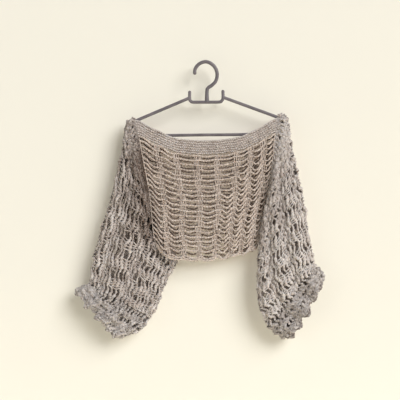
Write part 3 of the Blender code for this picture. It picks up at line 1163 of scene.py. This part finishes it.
@dataclass
class SleeveNet:
    """Where the strands and the clusters of one sleeve run, its cuff included."""

    shape: SleeveShape
    seed: int
    twist: float
    strands: int = 38
    radius: float = 2.7
    post_radius: float = 1.8
    lift: float = 2.4
    tone: float = 0.58
    bow: float = 2.4
    crinkle: float = 0.9
    sway: float = 1.2
    sway_length: float = 31.0
    swelling: float = 0.8
    # Strength of the painted shade in the fold beside the body
    shade: float = 0.0
    chevron: float = 0.022
    climb: float = 0.0
    bead: float = 9.0
    girth: float = 490.0
    length: float = 520.0
    inner_radius: float = 2.2
    knot_half: float = 0.24
    post_step: float = 0.0115
    post_stray: float = 0.008
    # The gathered shoulder's bulge, its half width round and half length along, and where it is
    cap_bulge: float = 4.5
    cap_round: float = 0.17
    cap_along: float = 0.04
    cap_at: float = 0.065
    # How far the fold's painted shade reaches, and the heights where it starts and where it fades
    shade_reach: float = 58.0
    shade_low: float = -560.0
    shade_high: float = -290.0
    fields: tuple = (
        -0.065, -0.02, 0.02, 0.062, 0.106, 0.152, 0.202, 0.257, 0.317,
        0.385, 0.46, 0.54, 0.62, 0.7, 0.785, 0.87, 0.955, 1.03,
    )  # fmt: skip

    def wave(self, turn: Floats) -> Floats:
        """How far the lines of clusters stray along the sleeve at a place round it."""
        share = 1.0 - np.abs(1.0 - 2.0 * np.mod(turn, 1.0))
        return self.chevron * np.sin(2.0 * math.pi * 2.5 * share + self.seed) + self.climb * (share - 0.5)

    def cap(self, turn: Floats, along: Floats) -> Floats:
        """How far the gathered shoulder bulges, with the strands' ends held down under its seam cord.

        Args:
            turn: places round the sleeve.
            along: places along it.

        Returns:
            A height over the surface for each place.
        """
        outer = np.exp(-(((np.mod(turn + 0.5, 1.0) - 0.5) / self.cap_round) ** 2))
        bulge = self.cap_bulge * outer * np.exp(-(((along - self.cap_at) / self.cap_along) ** 2))
        return bulge - (self.lift - 0.6) * (1.0 - smooth_step(along / 0.03))

    def shade_at(self, points: Floats) -> Floats:
        """How much painted shade darkens the yarn in the fold beside the body.

        Args:
            points: one row of x, y and z for each place.

        Returns:
            What is taken off the tone there.
        """
        z = points[:, 2]
        near = np.abs(BODY.seam(self.shape.hand, z) - points[:, 0])
        level = smooth_step((z - self.shade_low) / 90.0)
        level = level * (1.0 - 0.7 * smooth_step((z - self.shade_high) / 100.0))
        return self.shade * np.exp(-((near / self.shade_reach) ** 2)) * level

    def place(self, turn: Floats, along: Floats) -> Floats:
        """A place along a strand counted in lines of clusters."""
        return np.interp(along - self.wave(turn), self.fields, np.arange(len(self.fields)), left=0.0)

    def lines(self, random: np.random.Generator) -> list[tuple[Floats, Floats]]:
        """Routes of the lengthwise strands, which hang in bunches between the lines of clusters.

        Args:
            random: the seeded source of their unevenness.

        Returns:
            For each strand, its places round and along the sleeve, from armhole to cuff edge.
        """
        along = np.linspace(0.0, 1.0, 220)
        found = []
        for index in range(self.strands):
            turn = (index + 0.5) / self.strands + self.twist * along
            place = self.place(turn, along)
            field = np.floor(place).astype(int)
            bows = random.uniform(-self.bow, self.bow, len(self.fields))
            bow = bows[field] * np.sin(math.pi * (place - field))
            zigzag = self.crinkle * (1.3 - smooth_step(along / 0.5)) + 0.2
            bow += zigzag * np.sin(2.0 * math.pi * self.length * along / (1.15 * self.bead) + math.pi * index)
            bow += self.sway * np.sin(2.0 * math.pi * self.length * along / self.sway_length + 0.3 * index)
            found.append((turn + (bow + wander(random, along, 1.2, 8.0)) / self.girth, along))
        return found

    def lay(self, work: StockWork, knots: StockWork, low: float, high: float) -> None:
        """Lays the part of the net that belongs to one piece.

        Args:
            work: the piece's strands.
            knots: its clusters and the closer strands of its rear.
            low: where it starts along the sleeve.
            high: where it ends.
        """
        random = np.random.default_rng(self.seed)
        lines = self.lines(random)
        for index, (turn, along) in enumerate(lines):
            place = self.place(turn, along) + wander(random, along, 0.1, 9.0)
            knot = np.exp(-(((place - np.round(place)) / self.knot_half) ** 4))
            knot = knot * smooth_step((along - 0.04) / 0.04)
            beads = np.sin(2.0 * math.pi * self.length / self.bead * along + index)
            lift = self.lift + wander(random, along, 0.8, 12.0) + 1.2 * knot + self.cap(turn, along)
            uneven = 1.0 + wander(random, along, 0.1, 14.0)
            radius = self.radius * (uneven + 0.12 * beads + self.swelling * knot)
            tone = self.tone + random.uniform(-0.1, 0.1) + wander(random, along, 0.15, 12.0)
            # Beads and knots, which swell and rise, are lighter: painted light
            tone = tone + 0.05 * beads + 0.07 * knot
            keep = (along >= low) & (along <= high)
            work.lay(turn[keep], along[keep], lift[keep], radius[keep], tone[keep])
            middle = turn + 0.5 / self.strands
            rear = keep & (work.surface(middle, along)[1][:, 1] > -0.25)
            if rear.sum() > 12:
                # The rear's closer strands are darker: painted shade
                knots.lay(middle[rear], along[rear], 1.6, self.inner_radius, tone[rear] - 0.1)
        part = np.linspace(0.0, 1.0, 5)
        for field in self.fields:
            for index, (turn, along) in enumerate(lines):
                following = lines[(index + 1) % len(lines)][0] + float(index + 1 == len(lines))
                middle = turn[:1] + 0.5 / self.strands
                stray = random.uniform(-self.post_stray, self.post_stray)
                centre = field + float(self.wave(middle)[0]) + stray
                tones = random.uniform(-0.15, 0.15, 4)
                if not max(low + 0.012, 0.06) < centre < high - 0.006:
                    continue
                for post in range(-2, 2):
                    slant = random.uniform(-self.post_stray, self.post_stray)
                    here = centre + (post + 0.5) * self.post_step + slant * (1.0 - 2.0 * part)
                    start, end = np.interp(here, along, turn), np.interp(here, along, following)
                    lift = self.lift + 1.0 + 0.4 * post + 1.1 * np.sin(math.pi * part)
                    tone = self.tone + 0.06 + tones[post]
                    knots.lay(start + (end - start) * part, here, lift, self.post_radius, tone)

    def pieces(
        self,
        names: tuple[str, str],
        yarn: CottonYarn,
        ends: tuple[float, float],
        shade: Callable[[Floats], Floats] | None = None,
        rings: tuple = (),
    ) -> list[bpy.types.Object]:
        """Makes one length of the net.

        Args:
            names: the solid that it stands for and a finish name, which nothing uses.
            yarn: its finish.
            ends: where it starts and ends along the sleeve.
            shade: gives how much painted shade darkens the yarn at points.
            rings: place along the sleeve and radius of each ring that edges it.

        Returns:
            Its strands and its raised clusters, both hung on the root.
        """
        node, slot = names
        surface = self.shape.surface()
        work, knots = (StockWork(f"{node}_{part}", surface, shade) for part in ("net", "clusters"))
        self.lay(work, knots, *ends)
        turn = np.linspace(0.0, 1.0, 200, endpoint=False)
        for place, radius in rings:
            # The shoulder's rings are darker: painted shade at the gathered seam
            work.lay(turn, np.full_like(turn, place), 0.8, radius, self.tone - 0.1, True)
        baked = [
            part.make(
                yarn.material(),
                Inner_Shade=0.38,
                Twist_Pitch=0.019,
                Lobe=0.22,
                Sides=6,
                Fuzz=0.0014,
                Fuzz_Grain=330.0,
                Seed=float(self.seed),
            )
            for part in (work, knots)
        ]
        return [declared(piece, slot, node) for piece in baked]


@dataclass
class BellSleeve:
    """A bell sleeve: the body's net turned, with strands that run along it and clusters across."""

    net: SleeveNet
    yarn: CottonYarn
    node: str
    cut: float
    start: float = 0.014
    # Place along the sleeve and radius of each ring that gathers the shoulder
    rings: tuple = ((0.003, 2.4), (0.012, 2.3), (0.022, 2.2), (0.032, 2.2), (0.043, 2.2))

    def build(self) -> bpy.types.Object:
        """Makes the sleeve.

        Returns:
            The finished piece, hung on the root.
        """
        net = self.net
        ends = (self.start, net.shape.cuff_from)
        piece, raised = net.pieces((self.node, "sleeve_yarn"), self.yarn, ends, net.shade_at, self.rings)
        return piece


@dataclass
class RuffledCuff:
    """The sleeve's end: its net runs on to a close, lumpy edge that is widest at the outer corner."""

    net: SleeveNet
    yarn: CottonYarn
    node: str
    cut: float
    rings: int = 8
    loop: float = 9.5
    reach: float = 1.5
    radius: float = 2.9
    lump: float = 4.0
    frill: float = 4.0
    frills: float = 15.0
    tone: float = 0.6
    end: float = 0.99
    net_end: float = 0.975
    # Where the ruffle starts, and how much sooner at the outer corner, within a share of the round
    ruffle_from: float = 0.9
    corner_rise: float = 0.13
    corner_half: float = 0.2
    corner_over: float = 0.12
    girth: float = 470.0
    width: float = 45.0

    def start(self, turn: Floats) -> Floats:
        """Where the ruffle starts along the sleeve, at places round it."""
        away = np.abs(np.mod(turn + 0.5, 1.0) - 0.5)
        return self.ruffle_from - self.corner_rise * smooth_step((self.corner_half - away) / self.corner_over)

    def surface(self) -> Surface:
        """The ruffle's surface.

        Returns:
            A function of the place round it and the share of its own width.
        """
        base = self.net.shape.surface()

        def both(turn: Floats, share: Floats) -> tuple[Floats, Floats]:
            """Points and normals at each place.

            Args:
                turn: places round the sleeve.
                share: shares of the ruffle's width.

            Returns:
                One row of points and one of normals for each place.
            """
            start = self.start(turn)
            along = start + (self.end - start) * share
            points, normals = base(turn, along)
            axis = unit(points - base(turn, along - 0.02)[0])
            wave = np.sin(2.0 * math.pi * (self.frills * turn + 0.3 * np.sin(4.0 * share + self.net.seed)))
            cross = np.sin(math.pi * (2.0 * share + 0.8 * np.sin(2.0 * math.pi * 5.0 * turn)))
            rise = self.lump * (0.6 * wave * cross + 0.4 * wave) * smooth_step(share / 0.35)
            fall = self.frill * wave * smooth_step((share - 0.2) / 0.8)
            return points + normals * rise[:, None] + axis * fall[:, None], normals

        return both

    def build(self) -> bpy.types.Object:
        """Makes the cuff.

        Returns:
            The finished piece, hung on the root.
        """
        ends = (self.net.shape.cuff_from, self.net_end)
        piece, raised = self.net.pieces((self.node, "cuff_yarn"), self.yarn, ends)
        ruffle = declared(self.ruffle(), "cuff_yarn", self.node)
        return ruffle

    def ruffle(self) -> bpy.types.Object:
        """Makes the close edge: thick wavy rings that lie half over each other.

        Returns:
            The finished piece.
        """
        random = np.random.default_rng(self.net.seed + 50)
        work = StockWork(f"{self.node}_ruffle", self.surface())
        loops = int(self.girth / self.loop)
        turn = np.linspace(0.0, 1.0, loops * 7, endpoint=False)
        for index in range(self.rings):
            phase = 2.0 * math.pi * loops * turn + index * 2.6 + wander(random, turn, 1.2, 9.0)
            stray = self.reach * np.sin(phase) / self.width + wander(random, turn, 0.05, 9.0)
            share = index / (self.rings - 1.0) + stray
            lift = 0.4 + 0.9 * np.cos(phase) + wander(random, turn, 0.9, 16.0)
            radius = self.radius * (1.0 + wander(random, turn, 0.15, 24.0))
            # Loops are lighter where they rise and darker where they sink: painted light and shade
            tone = self.tone + random.uniform(-0.1, 0.1) + 0.16 * np.cos(phase)
            tone = tone + wander(random, turn, 0.2, 25.0)
            work.lay(turn, np.clip(share, 0.0, 1.03), lift, radius, tone, True)
        return work.make(
            self.yarn.material(),
            Inner_Shade=0.5,
            Twist_Pitch=0.02,
            Lobe=0.2,
            Sides=6,
            Fuzz=0.0014,
            Fuzz_Grain=330.0,
        )


# The hanger


@dataclass
class Hanger:
    """The moulded coat hanger in one piece: hook, yoke, arms and bar."""

    plastic: MouldedPlastic
    hook: tuple = (
        (-28, -24), (-27, -13), (-19, -1), (-8, 6), (4, 8.5), (16, 5), (28, -5),
        (35, -19), (36, -34), (31, -49), (20, -60), (10, -67), (7, -77), (7, -105.5),
    )  # fmt: skip
    yoke: tuple = (
        (-42.5, -79), (-42.5, -98.5), (-39.5, -104.5), (-33, -107.5), (-10, -107.5),
        (18, -107.5), (43, -107), (49.5, -103.5), (53, -96), (53, -77),
    )  # fmt: skip
    arm_left: tuple = ((-43.5, -95.6), (-125, -130.3), (-208, -165.5))
    arm_right: tuple = ((53.5, -93.6), (135, -123.4), (217, -153.4))
    bar: tuple = (
        (-207, -165.5), (-203, -178), (-195, -188), (-178, -197), (-150, -202.5), (-110, -203),
        (0, -201.5), (100, -200.5), (150, -197.5), (188, -188), (205, -176), (211, -166), (213.5, -153.5),
    )  # fmt: skip
    hook_radius: float = 5.1
    yoke_radius: float = 4.6
    arm_radius: float = 4.5
    bar_radius: float = 4.3

    def rod(self, work: StockWork, route: tuple, radius: float, steps: int, neck: float) -> None:
        """Adds one rod with round ends.

        Args:
            work: the piece.
            route: its points, x and z.
            radius: of the rod.
            steps: how many points it gets.
            neck: how much it widens towards its end.
        """
        place = np.linspace(0.0, len(route) - 1.0, steps)
        x, z = (curve_through([point[c] for point in route], place) for c in range(2))
        line = np.stack([x, np.zeros(steps), z], axis=1)
        first, last = unit(line[:1] - line[1:2]), unit(line[-1:] - line[-2:-1])
        angles = np.linspace(0.0, 0.5 * math.pi, 6)[1:]
        caps = radius * np.sin(angles)[:, None]
        thin = radius * np.maximum(np.cos(angles), 0.04)
        points = np.concatenate([(line[:1] + first * caps)[::-1], line, line[-1:] + last * caps])
        wide = radius * (1.0 + neck * smooth_step((place / place[-1] - 0.93) / 0.07))
        radii = np.concatenate([thin[::-1], wide, thin * (1.0 + neck)])
        work.run(points, radii, 0.5)

    def build(self) -> bpy.types.Object:
        """Makes the hanger.

        Returns:
            The finished piece, hung on the root.
        """
        work = StockWork("hanger")
        for route, radius, steps, neck in (
            (self.hook, self.hook_radius, 90, 0.25),
            (self.yoke, self.yoke_radius, 60, 0.0),
            (self.arm_left, self.arm_radius, 30, 0.0),
            (self.arm_right, self.arm_radius, 30, 0.0),
            (self.bar, self.bar_radius, 90, 0.0),
        ):
            self.rod(work, route, radius, steps, neck)
        plain = {"Twist_Pitch": 1000.0, "Lobe": 0.0, "Fuzz": 0.0, "Fuzz_Grain": 1.0, "Seed": 0.0}
        piece = work.make(self.plastic.material(), Sides=20, **plain)
        rods = ("hanger_hook", "hanger_yoke", "hanger_arm_left", "hanger_arm_right", "hanger_bar")
        return declared(piece, "hanger_plastic", *rods)


# The studio


@dataclass
class Studio:
    """A cream wall close behind, a pale floor well below, soft light and the camera."""

    aim_x: float = -12.9
    aim_z: float = -388.3
    view_width: float = 1148.0
    lens: float = 85.0
    sensor: float = 36.0
    floor_z: float = -1010.0
    half_width: float = 6000.0
    wall_top: float = 4000.0
    floor_front: float = -7000.0
    air_light: float = 0.09
    # Name, place in metres, side in metres, watts and tint of each soft light
    lamps: tuple = (
        ("key", (15.0, -19.8, 12.4), 16.4, 6720.0, "#FFFFFF"),
        ("fill", (-4.0, -5.0, 0.5), 4.0, 38.0, "#F2F8FF"),
        ("behind", (1.0, 4.5, 1.5), 3.0, 160.0, "#FFFFFF"),
    )

    def board(self, name: str, corners: tuple, material: bpy.types.Material) -> None:
        """Adds one flat board of the stage.

        Args:
            name: the object's name.
            corners: its four corners, wound towards the viewer.
            material: its finish.
        """
        mesh = bpy.data.meshes.new(name)
        mesh.from_pydata([[c * MM for c in corner] for corner in corners], [], [(0, 1, 2, 3)])
        mesh.materials.append(material)
        board = bpy.data.objects.new(name, mesh)
        board.visible_shadow = False
        bpy.context.scene.collection.objects.link(board)

    def lamp(self, name: str, place: tuple, size: float, power: float, tint: str) -> None:
        """Adds one square soft light aimed at the blouse.

        Args:
            name: the object's name.
            place: in metres.
            size: its side in metres.
            power: in watts.
            tint: its colour.
        """
        data = bpy.data.lights.new(name, "AREA")
        data.size = size
        data.energy = power
        data.color = linear(tint)[:3]
        lamp = bpy.data.objects.new(name, data)
        lamp.location = place
        aim = Vector((self.aim_x * MM, 0.0, self.aim_z * MM)) - lamp.location
        lamp.rotation_euler = aim.to_track_quat("-Z", "Y").to_euler()
        bpy.context.scene.collection.objects.link(lamp)

    def build(self) -> None:
        """Makes the stage, the lights and the camera."""
        scene = bpy.context.scene
        wall = PaintedWall("cream wall paint", "#F9F5E9").material()
        floor = PaintedWall("pale floor paint", "#F1EBDC").material()
        side, low, high, ahead = self.half_width, self.floor_z, self.wall_top, self.floor_front
        left, right = (-side, WALL_Y, low), (side, WALL_Y, low)
        self.board("wall", (left, right, (side, WALL_Y, high), (-side, WALL_Y, high)), wall)
        self.board("floor", ((-side, ahead, low), (side, ahead, low), right, left), floor)
        for lamp in self.lamps:
            self.lamp(*lamp)
        world = scene.world or bpy.data.worlds.new("studio air")
        scene.world = world
        world.use_nodes = True
        sky = world.node_tree.nodes["Background"]
        sky.inputs["Color"].default_value = linear("#FFFFFF")
        sky.inputs["Strength"].default_value = self.air_light
        camera = bpy.data.objects.new("camera", bpy.data.cameras.new("camera"))
        camera.data.lens = self.lens
        camera.data.sensor_width = self.sensor
        distance = self.view_width * self.lens / self.sensor
        camera.location = (self.aim_x * MM, -distance * MM, self.aim_z * MM)
        camera.rotation_euler = (math.radians(90.0), 0.0, 0.0)
        scene.collection.objects.link(camera)
        scene.camera = camera
        scene.view_settings.view_transform = "Standard"


def main() -> None:
    """Builds every piece in order."""
    logging.basicConfig(level=logging.INFO, format="%(name)s %(message)s")
    body = CottonYarn("front cotton yarn", "#E0D1C6", "#BFAEA2", "#7A695F")
    band = CottonYarn("band cotton yarn", "#E1D8D3", "#C2B6AF", "#85796F")
    sleeve = CottonYarn("sleeve cotton yarn", "#D7CFCA", "#B1A59E", "#6B5B51")
    cuff = CottonYarn("cuff cotton yarn", "#D3CCC8", "#ADA49F", "#6E625B")
    Hanger(MouldedPlastic("violet grey polypropylene", "#6A6468", "#7D767A")).build()
    NeckBand(Face.FRONT, band, "neck_band_front", 11).build()
    NeckBand(Face.BACK, band, "neck_band_back", 12).build()
    NetPanel(Face.FRONT, body, "front", "front_yarn", 21).build()
    # The back's lower tone is painted shade, so what shows through the front's gaps is darker
    NetPanel(
        Face.BACK, body, "back", "back_yarn", 22,
        rows=30, row_shift=0.9, slants=(3, 2, 1, 0, -2, -2, -2, 0), tone=0.58,
    ).build()  # fmt: skip
    left = SleeveNet(LEFT_SLEEVE, 30, 0.07, tone=0.67, shade=0.56, sway=2.2, climb=0.15, bow=3.0)
    right = SleeveNet(
        RIGHT_SLEEVE, 32, -0.3, tone=0.83, shade=0.25, sway=3.4, climb=-0.06,
        strands=34, radius=2.8, bow=1.6, crinkle=0.4, sway_length=35.0,
    )  # fmt: skip
    BellSleeve(left, sleeve, "sleeve_left", 0.172).build()
    RuffledCuff(left, cuff, "cuff_left", 0.037, tone=0.7).build()
    BellSleeve(right, sleeve, "sleeve_right", 0.147).build()
    # The right cuff's net and ruffle get lower tones: painted shade of the fold at its outer corner
    right.tone = 0.58
    RuffledCuff(right, cuff, "cuff_right", 0.031, tone=0.32, frills=9.0).build()
    Studio().build()


if __name__ == "__main__":
    main()
